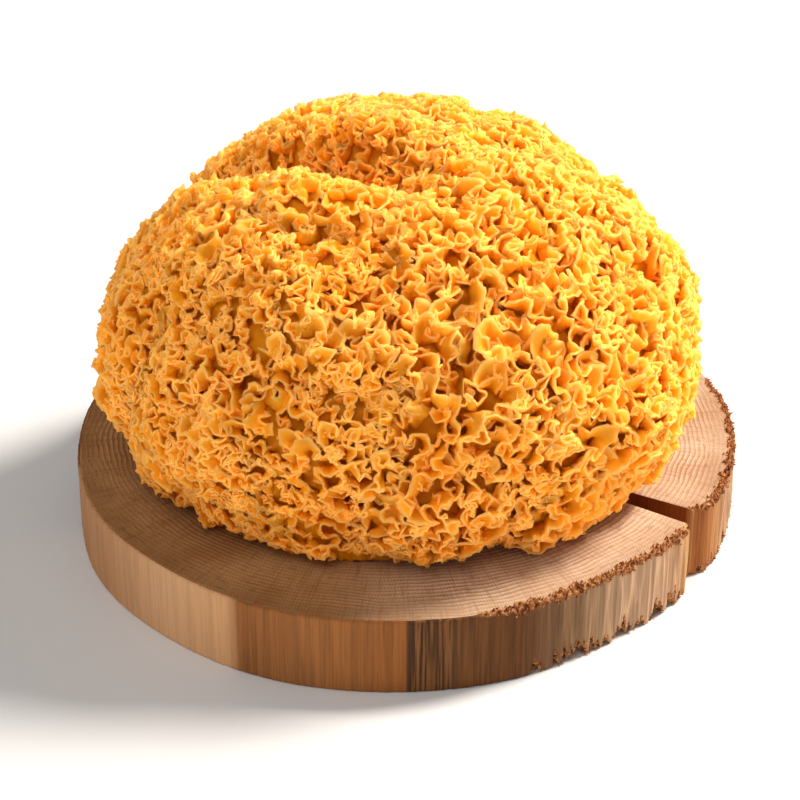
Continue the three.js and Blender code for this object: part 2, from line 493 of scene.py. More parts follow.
@dataclass
class HeadShape:
    """Outer shape that the tips of the fronds reach, measured from the head's centre."""

    half_width: float
    half_depth: float
    crown: float
    base: float
    centre: Array
    undercut: float = 70 * MM
    fuller: float = 12 * MM
    fuller_heading: float = -135.0
    crown_power: float = 1.9
    undercut_power: float = 1.75
    fold_from: tuple[float, float] = (-58 * MM, 14 * MM)
    fold_to: tuple[float, float] = (16 * MM, -36 * MM)
    fold_depth: float = 15 * MM
    fold_width: float = 5.5 * MM
    fold_fade: float = 0.45
    lobe_depth: float = 1.2 * MM
    lobe_size: float = 30 * MM
    crease_depth: float = 2.6 * MM
    crease_size: float = 50 * MM
    plan_waves: tuple[tuple[int, float, float], ...] = ((2, 0.012, -0.006), (3, -0.008, -0.031))

    @classmethod
    def from_frame(cls, widest: float = 30 * MM) -> "HeadShape":
        """Takes the sizes from the CAD head's box.

        Args:
            widest: height of the widest level over the foot.

        Returns:
            The shape.
        """
        low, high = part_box(HEAD_NODE)
        return cls(
            half_width=(high.x - low.x) / 2,
            half_depth=(high.y - low.y) / 2,
            crown=high.z - low.z - widest,
            base=widest,
            centre=np.array([(low.x + high.x) / 2, (low.y + high.y) / 2, low.z + widest]),
        )

    def __post_init__(self) -> None:
        """Draws the broad lobes and the creases between them."""
        self.lobes = WaveField(self.lobe_size, seed=31, waves=24)
        self.creases = WaveField(self.crease_size, seed=36, waves=24)

    def radius(self, directions: Array) -> Array:
        """Distance from the centre to the outer shape in each unit direction."""
        azimuth = np.arctan2(directions[:, 1], directions[:, 0])
        stray = sum(c * np.cos(n * azimuth) + s * np.sin(n * azimuth) for n, c, s in self.plan_waves)
        flat = np.hypot(directions[:, 0] / self.half_width, directions[:, 1] / self.half_depth)
        flat = flat / (1 + stray)
        above = directions[:, 2] >= 0
        power = np.where(above, self.crown_power, self.undercut_power)
        under = self.undercut + self.fuller * np.cos(azimuth - math.radians(self.fuller_heading))
        upright = np.abs(directions[:, 2]) / np.where(above, self.crown, under)
        return (flat**power + upright**power) ** (-1 / power)

    def fold(self, points: Array) -> Array:
        """Depth of the fold across the crown at points measured from the centre."""
        start, end = np.array(self.fold_from), np.array(self.fold_to)
        run = end - start
        offset = points[:, :2] + self.centre[:2] - start
        share = offset @ run / (run @ run)
        aside = (offset[:, 0] * run[1] - offset[:, 1] * run[0]) / np.linalg.norm(run)
        fade = smoothstep(0, self.fold_fade, 1 - share) * smoothstep(-0.35, 0.0, share)
        climb = smoothstep(0, 0.5 * self.crown, points[:, 2])
        return self.fold_depth * fade * climb * np.exp(-0.5 * (aside / self.fold_width) ** 2)

    def surface(self, directions: Array, inset: float) -> Array:
        """Points on the relief at a depth under the outer shape, measured from the centre."""
        smooth = self.radius(directions)[:, None] * directions
        lobes = self.lobe_depth * (self.lobes.at(smooth) * 0.6 - 0.4)
        creases = self.crease_depth * np.exp(-((self.creases.at(smooth) / 0.4) ** 2))
        reach = np.linalg.norm(smooth, axis=1) + lobes - creases - self.fold(smooth) - inset
        return directions * reach[:, None]

    def normals(self, directions: Array, inset: float, step: float = 0.03) -> Array:
        """Outward unit normals of that surface, from small turns of each direction."""
        helper = np.where(np.abs(directions[:, 2:]) < 0.9, [[0.0, 0.0, 1.0]], [[1.0, 0.0, 0.0]])
        east = unit(np.cross(helper, directions))
        north = np.cross(directions, east)
        sides = [
            self.surface(unit(directions + step * turn), inset)
            for turn in (east, -east, north, -north)
        ]
        return unit(np.cross(sides[0] - sides[1], sides[2] - sides[3]))


@dataclass
class FrondLines:
    """Lines over the head's core that the fronds grow from.

    They are contours of a random wave field, so that they wander at an even spacing. Shorter
    lines of a second field run between them and end on them.
    """

    shape: HeadShape
    deep: float = 6.2 * MM
    shallow: float = 3.0 * MM
    coarse_wave: float = 6.4 * MM
    fine_wave: float = 4.3 * MM
    step: float = 0.32 * MM
    low_step: float = 0.5 * MM
    shortest: float = 4 * MM
    smallest_ring: int = 40
    frond_lengths: tuple[float, float] = (9 * MM, 26 * MM)
    overlap: float = 1.6 * MM
    foot_margin: float = 1.5 * MM

    def coarseness(self, directions: Array) -> Array:
        """1 where the ruffles are largest, at the front right, and 0 where they are finest."""
        azimuth = np.arctan2(directions[:, 1], directions[:, 0])
        climb = np.arcsin(np.clip(directions[:, 2], -1, 1))
        front = np.exp(-0.5 * (angle_gap(azimuth, math.radians(-58)) / math.radians(30)) ** 2)
        band = np.exp(-0.5 * ((climb - math.radians(22)) / math.radians(32)) ** 2)
        back = np.exp(-0.5 * (angle_gap(azimuth, math.radians(120)) / math.radians(50)) ** 2)
        patches = 0.22 * WaveField(0.5, seed=19, waves=20).at(directions)
        return np.clip(front * band + 0.5 * back + patches, 0, 1)

    def inset(self, directions: Array) -> Array:
        """Depth of the core under the outer shape, which is the height of the fronds there."""
        return self.shallow + (self.deep - self.shallow) * self.coarseness(directions)

    def feet(self, directions: Array) -> Array:
        """Points on the core in each direction, measured from the head's centre."""
        return self.shape.surface(directions, self.inset(directions))

    def trace(self) -> list[dict[str, Array]]:
        """Traces every line.

        Returns:
            For each line its unit directions from the head's centre, the share of the full
            height that its fronds reach, and the step between its points.
        """
        sphere = bmesh.new()
        bmesh.ops.create_icosphere(sphere, subdivisions=ICOSPHERE_SPLITS, radius=1.0)
        directions = unit(np.array([v.co[:] for v in sphere.verts]))
        faces = np.array([[v.index for v in f.verts] for f in sphere.faces])
        sphere.free()
        points = self.feet(directions)
        share = self.coarseness(directions)
        main = self.mixed(points, share, seed=5)
        cross = self.mixed(points, share, seed=17)
        other = self.mixed(points, share, seed=29)
        floor = self.foot_margin - self.shape.base
        above = points[:, 2] > floor
        low = self.mixed(points, share, seed=83)
        gaps = self.mixed(points, share, seed=97)
        draw = np.random.default_rng(71)
        parts = []
        for waves, keep, rises, step in (
            (main, above, (0.82, 1.02), self.step),
            (cross, above & (main > 0.2), (0.8, 1.0), self.step),
            (other, above & (main < -0.2), (0.8, 1.0), self.step),
            (low, above, (0.5, 0.78), self.low_step),
            (gaps, above & (np.abs(low) > 0.5), (0.4, 0.7), self.low_step),
        ):
            for line in self.contour(directions, faces, waves, keep):
                for spots in self.parted(line, draw):
                    parts.append({"spots": spots, "rise": draw.uniform(*rises), "step": step})
        return parts

    def parted(self, spots: Array, draw: np.random.Generator) -> list[Array]:
        """Parts a long line into single fronds that overlap a little at their ends.

        Args:
            spots: the line's unit directions, from contour.
            draw: source of the random lengths.

        Returns:
            The directions of each frond's own line.
        """
        points = self.feet(spots)
        run = np.r_[0, np.cumsum(np.linalg.norm(np.diff(points, axis=0), axis=1))]
        ring = np.linalg.norm(points[0] - points[-1]) < 2 * self.step
        longest = 0.6 * run[-1] if ring else run[-1]
        parts, start = [], 0.0
        while start < run[-1] - self.shortest:
            end = start + min(draw.uniform(*self.frond_lengths), longest)
            chosen = spots[(run >= start) & (run <= end + self.overlap)]
            if len(chosen) > 4:
                parts.append(chosen)
            start = end
        return parts

    def mixed(self, points: Array, share: Array, seed: int) -> Array:
        """Wave field that is coarse where share is 1 and fine where it is 0."""
        coarse = WaveField(self.coarse_wave, seed)
        fine = WaveField(self.fine_wave, seed + 1)
        return coarse.at(points) * share + fine.at(points) * (1 - share)

    def contour(self, directions: Array, faces: Array, values: Array, keep: Array) -> list[Array]:
        """Chains the zero contour of a field on a triangle mesh into lines.

        Args:
            directions: unit directions of the mesh's vertices.
            faces: vertex numbers of its triangles.
            values: the field at each vertex.
            keep: where the lines may run.

        Returns:
            The unit directions along each line. A ring ends where it began.
        """
        corners = np.stack([faces, np.roll(faces, -1, axis=1)], axis=2)
        crossed = values[corners[..., 0]] * values[corners[..., 1]] < 0
        active = crossed.sum(1) == 2
        low, high = corners.min(2)[active], corners.max(2)[active]
        keys = (low.astype(np.int64) * len(directions) + high)[crossed[active]].reshape(-1, 2)
        names, links = np.unique(keys, return_inverse=True)
        links = links.reshape(-1, 2)
        first, second = names // len(directions), names % len(directions)
        share = (values[first] / (values[first] - values[second]))[:, None]
        spots = unit(directions[first] * (1 - share) + directions[second] * share)
        allowed = keep[first] & keep[second]
        near: list[list[int]] = [[] for _ in names]
        for a, b in links.tolist():
            if allowed[a] and allowed[b]:
                near[a].append(b)
                near[b].append(a)
        seen = np.zeros(len(names), bool)
        lines = []
        ends = [n for n in range(len(names)) if len(near[n]) == 1]
        for start in ends + list(range(len(names))):
            if seen[start] or not near[start]:
                continue
            chain, spot = [start], start
            seen[start] = True
            while True:
                onward = [n for n in near[spot] if not seen[n]]
                if not onward:
                    break
                spot = onward[0]
                seen[spot] = True
                chain.append(spot)
            if chain[0] in near[chain[-1]]:
                chain.append(chain[0])
                if len(chain) < self.smallest_ring:
                    continue
            lines.append(spots[chain])
        return lines

    def resampled(self, spots: Array, step: float) -> tuple[Array, float] | None:
        """Evens out a line's points.

        Args:
            spots: the line's unit directions.
            step: distance wanted between the points.

        Returns:
            Its unit directions at even steps and the step in metres, or None if it is too short.
        """
        for _ in range(4):
            spots[1:-1] = unit(0.5 * spots[1:-1] + 0.25 * (spots[:-2] + spots[2:]))
        points = self.feet(spots)
        run = np.r_[0, np.cumsum(np.linalg.norm(np.diff(points, axis=0), axis=1))]
        if run[-1] < self.shortest:
            return None
        count = max(int(round(run[-1] / step)), 6)
        even = np.linspace(0, run[-1], count + 1)
        made = unit(np.stack([np.interp(even, run, spots[:, axis]) for axis in range(3)], axis=1))
        return made, run[-1] / count


GROWTH_FACTS = ("foot", "outward", "aside", "reach", "size", "cant", "wide_phase", "fine_phase")
GROWTH_VECTORS = ("foot", "outward", "aside")

# How a point of a frond is placed: each row names a value, says how it is made and from what.
# A term is a number, or the name of an earlier value, of an input or of an attribute. A name
# that starts with to_ or at_ is a vector. The drifts are slow noise over the head, from about -1
# to 1, with a feature size and a shift of its own each.
DRIFTS = (
    ("drift_phase", 5 * MM, 0.0),
    ("drift_small", 4 * MM, 0.3),
    ("drift_height", 9 * MM, 0.7),
    ("drift_tilt", 9 * MM, 0.5),
)
FROND_STEPS = (
    ("widen", "POWER", "height", 0.9),
    ("frill", "POWER", "height", 2.2),
    ("curl", "POWER", "height", 1.8),
    ("phase", "MULTIPLY_ADD", "drift_phase", 1.4, "wide_phase"),
    ("small", "MULTIPLY_ADD", "drift_small", 1.2, "fine_phase"),
    ("wide_sine", "SINE", "phase"),
    ("wide_full", "MULTIPLY", "wide_sine", "Wide ruffle"),
    ("unevenness", "MULTIPLY_ADD", "drift_height", 0.45, 1.0),
    ("wide", "MULTIPLY", "wide_full", "unevenness"),
    ("fine_sine", "SINE", "small"),
    ("fine", "MULTIPLY", "fine_sine", "Fine ruffle"),
    ("tilt", "MULTIPLY_ADD", "drift_tilt", "Lean", "cant"),
    ("wide_share", "MULTIPLY", "wide", "widen"),
    ("fine_share", "MULTIPLY", "fine", "frill"),
    ("ruffle", "ADD", "wide_share", "fine_share"),
    ("leaning", "MULTIPLY_ADD", "tilt", "curl", "ruffle"),
    ("sideways", "MULTIPLY", "leaning", "size"),
    ("double_phase", "MULTIPLY", "phase", -2.0),
    ("hook_sine", "SINE", "double_phase"),
    ("hooked", "MULTIPLY", "hook_sine", "Hook"),
    ("hook_share", "MULTIPLY", "hooked", "widen"),
    ("onward", "MULTIPLY", "hook_share", "size"),
    ("rise", "MULTIPLY", "reach", "height"),
    ("crinkle_full", "MULTIPLY", "Crinkle", 4.0),
    ("crumple", "MULTIPLY", "crinkle_full", "height"),
    ("crinkle_fine", "MULTIPLY", "Crinkle", 2.1),
    ("serration", "MULTIPLY", "crinkle_fine", "frill"),
    ("to_along", "CROSS_PRODUCT", "aside", "outward"),
    ("to_height", "SCALE", "outward", "rise"),
    ("to_side", "SCALE", "aside", "sideways"),
    ("to_onward", "SCALE", "to_along", "onward"),
    ("at_height", "ADD", "foot", "to_height"),
    ("at_side", "ADD", "at_height", "to_side"),
    ("at_edge", "ADD", "at_side", "to_onward"),
)


@dataclass
class Fronds:
    """The ruffled fronds: thin closed ribbons that stand on the lines over the core."""

    shape: HeadShape
    lines: FrondLines
    flesh: bpy.types.Material
    levels: int = 5
    wide_length: float = 4.6 * MM
    wide_height: float = 1.6 * MM
    fine_length: float = 2.1 * MM
    fine_height: float = 0.5 * MM
    hook: float = 0.36 * MM
    lean: float = 1.6 * MM
    frond_lean: float = 1.3 * MM
    up_lean: float = 2.4 * MM
    jog: float = 0.8 * MM
    crinkle: float = 0.8 * MM
    root_thickness: float = 1.1 * MM
    edge_thickness: float = 0.4 * MM
    foot_gap: float = 0.9 * MM
    foot_blend: float = 1.5 * MM
    sectors: int = 12
    seed: int = 3

    def build(self) -> list[bpy.types.Object]:
        """Grows the fronds and splits them by sector.

        Returns:
            One closed mesh object for each sector of the head.
        """
        rows = [self.row(number, line) for number, line in enumerate(self.lines.trace())]
        rows = [row for row in rows if row]
        tree = self.tree()
        pieces = []
        for sector in range(self.sectors):
            chosen = [row for row in rows if row["sector"] == sector]
            if chosen:
                pieces.append(self.grow(f"fronds_{sector + 1}", chosen, tree))
        return pieces

    def row(self, number: int, line: dict) -> dict | None:
        """Works out what one line needs to grow: its foot points, directions and ruffle phases.

        Args:
            number: the line's number, for its own random phase.
            line: one line of FrondLines.trace.

        Returns:
            Arrays by attribute name and the sector, or None for a line that is too short.
        """
        evened = self.lines.resampled(line["spots"], line["step"])
        if evened is None:
            return None
        spots, step = evened
        foot = self.lines.feet(spots)
        outward = self.shape.normals(spots, self.lines.inset(spots))
        along = unit(np.gradient(foot, axis=0))
        aside = unit(np.cross(outward, along))
        coarse = self.lines.coarseness(spots)
        size = 0.62 + 0.58 * coarse
        drift = WaveField(16 * MM, seed=41).at(foot)
        pace = step / size * (1 + 0.22 * drift)
        draw = np.random.default_rng(1000 + number)
        phases = {}
        for name, length in (("wide_phase", self.wide_length), ("fine_phase", self.fine_length)):
            phases[name] = np.cumsum(pace) * 2 * math.pi / length + draw.uniform(0, 2 * math.pi)
        reach = self.reach(foot, self.lines.inset(spots), step) * line["rise"]
        foot = foot + aside * draw.normal(0, self.jog)
        cant = self.frond_lean * np.clip(draw.normal(), -1.5, 1.5) + self.up_lean * aside[:, 2]
        middle = unit(foot.mean(0)[None])[0]
        around = (math.atan2(middle[1], middle[0]) / (2 * math.pi)) % 1.0
        return {
            "foot": foot + self.shape.centre,
            "outward": outward,
            "aside": aside,
            "reach": reach,
            "size": size,
            "cant": cant,
            **phases,
            "sector": int(around * self.sectors) % self.sectors,
        }

    def reach(self, foot: Array, full: Array, step: float) -> Array:
        """Height of the frond's edge over each foot point, with lobes, and low at free ends."""
        lobes = WaveField(8 * MM, seed=51).at(foot)
        broad = WaveField(21 * MM, seed=52).at(foot)
        height = full * np.clip(0.93 + 0.1 * lobes + 0.06 * broad, 0.5, 1.12)
        place = np.arange(len(foot)) * step
        end = np.minimum(place, place[-1] - place)
        return height * (0.45 + 0.55 * smoothstep(0, 3 * MM, end))

    def grow(self, name: str, rows: list[dict], tree: bpy.types.NodeTree) -> bpy.types.Object:
        """Runs the growing tree over the lines of one sector.

        Args:
            name: name of the piece.
            rows: its lines, from row.
            tree: the Geometry Nodes tree.

        Returns:
            The finished piece as a plain mesh object.
        """
        edges, start = [], 0
        for row in rows:
            count = len(row["foot"])
            edges += [(start + n, start + n + 1) for n in range(count - 1)]
            start += count
        mesh = bpy.data.meshes.new(name)
        mesh.from_pydata(np.vstack([row["foot"] for row in rows]).tolist(), edges, [])
        for key in GROWTH_FACTS:
            store(mesh, key, np.concatenate([row[key] for row in rows]))
        sizes = {
            "Wide ruffle": self.wide_height,
            "Fine ruffle": self.fine_height,
            "Hook": self.hook,
            "Lean": self.lean,
            "Crinkle": self.crinkle,
            "Root thickness": self.root_thickness,
            "Edge thickness": self.edge_thickness,
            "Levels": self.levels,
            "Floor": float(self.shape.centre[2] - self.shape.base),
            "Seed": float(self.seed),
            "Material": self.flesh,
        }
        piece = grow_mesh(name, mesh, tree, sizes)
        for used in (*GROWTH_FACTS, "wall"):
            piece.data.attributes.remove(piece.data.attributes[used])
        return piece

    def tree(self) -> bpy.types.NodeTree:
        """Builds the Geometry Nodes tree that grows fronds from lines.

        Each line becomes a sheet of several levels. Its points move out by the frond's reach and
        aside by the ruffles, which widen towards the edge. The sheet then gets its thickness.

        Returns:
            The tree.
        """
        floats = ("Wide ruffle", "Fine ruffle", "Hook", "Lean", "Crinkle", "Root thickness")
        floats = dict.fromkeys((*floats, "Edge thickness", "Floor", "Seed"), "Float")
        inputs = {**floats, "Levels": "Int", "Material": "Material"}
        tree, add, given = growing_tree("grow_fronds", inputs)
        factor = add("GeometryNodeSplineParameter", out="Factor")
        level = add(MATH, [factor, 0.85], 0, operation="POWER")
        line = add("GeometryNodeMeshToCurve", [given["Geometry"]], 0)
        stem = add("GeometryNodeCurvePrimitiveLine", {"End": (0.0, MM, 0.0)}, 0)
        stem = add("GeometryNodeResampleCurve", {"Curve": stem, "Count": given["Levels"]}, 0)
        links = {"Geometry": stem, "Name": "height", "Value": level}
        stem = add(STORE, links, 0, data_type="FLOAT", domain="POINT")
        sheet = add("GeometryNodeCurveToMesh", {"Curve": line, "Profile Curve": stem}, 0)
        values = {name: given[name] for name in floats}
        for name in ("height", *GROWTH_FACTS):
            kind = "FLOAT_VECTOR" if name in GROWTH_VECTORS else "FLOAT"
            values[name] = add(NAMED, {"Name": name}, 0, data_type=kind)
        for name, size, shift in DRIFTS:
            moved = add(VECTOR, [values["foot"], (shift, shift, shift)], 0, operation="ADD")
            cloud = {"Vector": moved, "W": given["Seed"], "Scale": 1 / size, "Detail": 1.0}
            cloud = add(NOISE, cloud, "Fac", noise_dimensions="4D")
            values[name] = add(MATH, [cloud, 4.0, -2.0], 0, operation="MULTIPLY_ADD")
        for name, operation, *terms in FROND_STEPS:
            kind = VECTOR if name.startswith(("to_", "at_")) else MATH
            links = [values.get(term, term) for term in terms]
            if operation == "SCALE":
                links = {0: links[0], "Scale": links[1]}
            values[name] = add(kind, links, 0, operation=operation)
        place = values["at_edge"]
        for size, detail, strength in ((3.2, 1.0, "crumple"), (1.1, 0.0, "serration")):
            cloud = {"Vector": place, "Scale": 1 / (size * MM), "Detail": detail}
            cloud = add(NOISE, cloud, "Color")
            shift = add(VECTOR, [cloud, (0.5, 0.5, 0.5)], 0, operation="SUBTRACT")
            shift = add(VECTOR, {0: shift, "Scale": values[strength]}, 0, operation="SCALE")
            place = add(VECTOR, [place, shift], 0, operation="ADD")
        parts = add("ShaderNodeSeparateXYZ", [place]).outputs
        lowest = add(MATH, [given["Floor"], self.foot_gap], 0, operation="ADD")
        lifted = add(MATH, [parts["Z"], lowest, self.foot_blend], 0, operation="SMOOTH_MAX")
        place = add("ShaderNodeCombineXYZ", [parts["X"], parts["Y"], lifted], 0)
        sheet = add(MOVE, {"Geometry": sheet, "Position": place}, 0)
        limits = {"To Min": given["Root thickness"], "To Max": given["Edge thickness"]}
        thick = add(RANGE, {"Value": values["height"], **limits}, "Result")
        normal = add("GeometryNodeInputNormal", out="Normal")
        wall = add(VECTOR, {0: normal, "Scale": thick}, 0, operation="SCALE")
        links = {"Geometry": sheet, "Name": "wall", "Value": wall}
        sheet = add(STORE, links, 0, data_type="FLOAT_VECTOR", domain="POINT")
        wall = add(NAMED, {"Name": "wall"}, 0, data_type="FLOAT_VECTOR")
        half = add(VECTOR, {0: wall, "Scale": -0.5}, 0, operation="SCALE")
        back = add(MOVE, {"Geometry": sheet, "Offset": half}, 0)
        swell = {"Mesh": back, "Offset": wall, "Offset Scale": 1.0, "Individual": False}
        front = add("GeometryNodeExtrudeMesh", swell, "Mesh", mode="FACES")
        shell = add("GeometryNodeJoinGeometry")
        tree.links.new(front, shell.inputs[0])
        tree.links.new(add("GeometryNodeFlipFaces", [back], 0), shell.inputs[0])
        joined = {"Geometry": shell.outputs[0], "Distance": 1e-6}
        shell = add("GeometryNodeMergeByDistance", joined, 0)
        shell = add("GeometryNodeSetShadeSmooth", [shell], 0)
        shell = add("GeometryNodeRealizeInstances", [shell], 0)
        shell = add(SET_MATERIAL, {"Geometry": shell, "Material": given["Material"]}, 0)
        add("NodeGroupOutput", [shell])
        return tree


@dataclass
class Core:
    """The solid centre that the fronds stand on, seen only at the bottom of the deep gaps."""

    shape: HeadShape
    lines: FrondLines
    flesh: bpy.types.Material
    bump: float = 0.8 * MM
    bump_size: float = 3.4 * MM

    def build(self) -> bpy.types.Object:
        """Makes the core as one closed, lumpy body that stands on the slice."""
        sphere = bmesh.new()
        bmesh.ops.create_icosphere(sphere, subdivisions=ICOSPHERE_SPLITS, radius=1.0)
        directions = unit(np.array([v.co[:] for v in sphere.verts]))
        points = self.lines.feet(directions)
        lumps = 1 - 2 * np.abs(WaveField(self.bump_size, seed=61).at(points))[:, None]
        lumps = np.clip(lumps, -1, 1)
        points = points + directions * (lumps * self.bump - 0.2 * MM)
        points[:, 2] = np.maximum(points[:, 2], -self.shape.base)
        points = points + self.shape.centre
        for vertex, point in zip(sphere.verts, points):
            vertex.co = point
        mesh = bpy.data.meshes.new("fungus_core")
        for face in sphere.faces:
            face.smooth = True
        sphere.to_mesh(mesh)
        sphere.free()
        mesh.materials.append(self.flesh)
        # The core's colour follows its lumps: sunken parts get more of the darker root colour, a
        # painted shade in its hollows
        store(mesh, "height", 0.3 + 0.2 * lumps[:, 0])
        piece = bpy.data.objects.new("fungus_core", mesh)
        bpy.context.scene.collection.objects.link(piece)
        return piece


# ---------------------------------------------------------------------------------------------
# Log slice
# ---------------------------------------------------------------------------------------------


def window(azimuth: Array, start: float, end: float, soft: float = 2.0) -> Array:
    """1 between two azimuths and 0 outside them, in degrees, with soft ends."""
    middle, half = (start + end) / 2, (end - start) / 2
    gap = np.abs((azimuth - middle + 180) % 360 - 180)
    return 1 - smoothstep(half - soft, half + soft, gap)


@dataclass
class LogSlice:
    """The sawn round: one closed body with worn edges, torn rims and one drying split.

    It is built as a fan of columns from one wall of the split round to the other. Each column
    runs from the pith over the top, down the side and back under the slice.
    """

    thickness: float
    finishes: list[bpy.types.Material]
    radius: float = 85 * MM
    waves: tuple[tuple[int, float, float], ...] = (
        (2, 1.1 * MM, 58),
        (3, 0.8 * MM, 11),
        (5, 0.35 * MM, -14),
        (9, 0.25 * MM, 9),
    )
    split_direction: float = -31.2
    split_angle: float = 4.8
    split_start: float = 6 * MM
    edge: float = 0.6 * MM
    top_bite: float = 1.2 * MM
    foot_chip: float = 1.5 * MM
    foot_bevel: float = 6 * MM
    broken_corner: float = 3.4 * MM
    worn_corner: float = 1.4 * MM
    columns: int = 1150
    pith_rows: int = 3
    rows: int = 24
    side_rows: int = 22
    zones: tuple[tuple[float, str, float], ...] = (
        (-180, "95572B", 0.5),
        (-168, "9E5F2F", 0.5),
        (-166, "D89B66", 0.2),
        (-146, "E0A371", 0.1),
        (-131, "F9C08C", 0.1),
        (-117, "FBBD86", 0.1),
        (-115, "B3713C", 0.25),
        (-104, "BD7A43", 0.2),
        (-88.4, "AD6932", 0.25),
        (-87.8, "976438", 1.0),
        (-84, "88572D", 1.0),
        (-81.5, "885831", 0.9),
        (-80, "825127", 0.45),
        (-70, "75461E", 0.4),
        (-66, "845A38", 0.32),
        (-58, "AA825C", 0.28),
        (-50, "D4AA84", 0.25),
        (-38, "E5B68E", 0.25),
        (-32.5, "DCA368", 0.3),
        (-30, "B4672C", 0.2),
        (-24, "CE935C", 0.2),
        (-18, "CFA27C", 0.25),
        (40, "C49366", 0.4),
        (180, "95572B", 0.5),
    )

    def rim(self, turn: Array) -> Array:
        """Distance from the trunk's middle to its side in each direction, in radians."""
        return self.radius + sum(h * np.cos(n * (turn - math.radians(c))) for n, h, c in self.waves)

    def middle(self) -> Array:
        """Middle of the outline's box, which the slice is centred on."""
        turn = np.linspace(0, 2 * math.pi, 3600)
        outline = self.rim(turn)[:, None] * np.stack([np.cos(turn), np.sin(turn)], axis=1)
        return (outline.min(0) + outline.max(0)) / 2

    def build(self) -> bpy.types.Object:
        """Makes the slice.

        Returns:
            The finished mesh object, with the attributes tone, torn, rimward and shred.
        """
        share = np.linspace(0, 1, self.columns + 1)[:, None]
        turn = math.radians(self.split_direction) + share * 2 * math.pi
        azimuth = (np.degrees(turn) + 180) % 360 - 180
        rim = self.rim(turn)
        spot = np.concatenate([rim * np.cos(turn), rim * np.sin(turn), 0 * rim], axis=1)
        fine = WaveField(1.9 * MM, seed=91).at(spot)[:, None]
        mid = WaveField(4.2 * MM, seed=92).at(spot)[:, None]
        torn_top = window(azimuth, -76, -33) + 0.8 * window(azimuth, -30, 16, 4)
        torn_foot = window(azimuth, -68, -33) + 0.9 * window(azimuth, -30, 26, 4)
        hidden = 0.5 * window(azimuth, 60, 150, 12)
        bite = (torn_top + hidden) * np.clip(0.75 + 0.35 * mid + 0.35 * fine, 0.1, 1.8)
        chip = (torn_foot + hidden) * np.clip(0.9 + 0.9 * fine + 0.3 * mid, 0.1, 2.8)
        bite, chip = bite * self.top_bite, chip * self.foot_chip
        steps = np.linspace(0, 1, self.side_rows + 1)[None]
        drop = self.thickness * 0.5 * (1 - np.cos(math.pi * steps))
        depth = np.clip(1 - drop / (self.edge + 1.1 * bite), 0, 1)
        rise = np.clip(1 - (self.thickness - drop) / self.edge, 0, 1)
        gone = np.clip(1 - (self.thickness - drop) / (1.1 * chip + 1e-6), 0, 1)
        inset = (self.edge + 0.8 * bite) * (1 - np.sqrt(1 - depth**2))
        inset = inset + self.edge * (1 - np.sqrt(1 - rise**2)) + 0.9 * chip * gone
        corner = np.minimum(share, 1 - share) * 2 * math.pi * self.radius
        broken = np.where(share < 0.5, self.broken_corner, self.worn_corner)
        inset = inset + broken * np.exp(-((corner / broken) ** 2))
        inset = inset + self.grain(spot, drop, azimuth) * np.sin(math.pi * steps) ** 0.5
        side = rim - inset
        torn = np.maximum(
            smoothstep(0.05, 0.5, depth) * smoothstep(0.2, 0.6, torn_top),
            smoothstep(0.0, 0.3, gone) * smoothstep(0.3 * MM, 0.9 * MM, chip),
        )
        inner = np.linspace(0, self.split_start, self.pith_rows + 1)[:-1]
        climb = 1 - (1 - np.linspace(0, 1, self.rows - self.pith_rows + 1)[:-1]) ** 1.5
        top = self.cap(side[:, :1], inner, climb)
        foot = self.cap(side[:, -1:], inner, climb)[:, ::-1]
        radii = np.concatenate([top, side, foot], axis=1)
        lift = 0.8 * chip
        under = lift * smoothstep(side[:, -1:] - self.foot_bevel, side[:, -1:], foot)
        level = self.thickness - drop * (1 - lift / self.thickness)
        heights = np.concatenate([np.full_like(top, self.thickness), level, under], axis=1)
        return self.assemble(radii, heights, share, azimuth, torn, bite)

    @staticmethod
    def cap(edge: Array, inner: Array, climb: Array) -> Array:
        """Distances from the pith of the rows of a sawn face, up to but without its edge."""
        outer = inner[-1] * 1.5 + (edge - inner[-1] * 1.5) * climb
        return np.concatenate([np.broadcast_to(inner, (len(edge), len(inner))), outer], axis=1)

    def grain(self, spot: Array, drop: Array, azimuth: Array) -> Array:
        """Depth of the fibres' relief on the side, deepest where the side is rough."""
        rough = window(azimuth, -67, -33, 4) + 0.8 * window(azimuth, -30, 30, 6)
        rough = 0.1 + 0.24 * rough + 0.1 * window(azimuth, -92, -76)
        streaks = [WaveField(size * MM, seed=int(100 + size * 10)) for size in (1.5, 2.6, 6.5)]
        rows = []
        for level in range(drop.shape[1]):
            place = spot.copy()
            place[:, 2] = 0.05 * drop[0, level]
            rows.append(sum(w * f.at(place) for w, f in zip((0.6, 0.2, 0.2), streaks)))
        return np.stack(rows, axis=1) * rough * MM

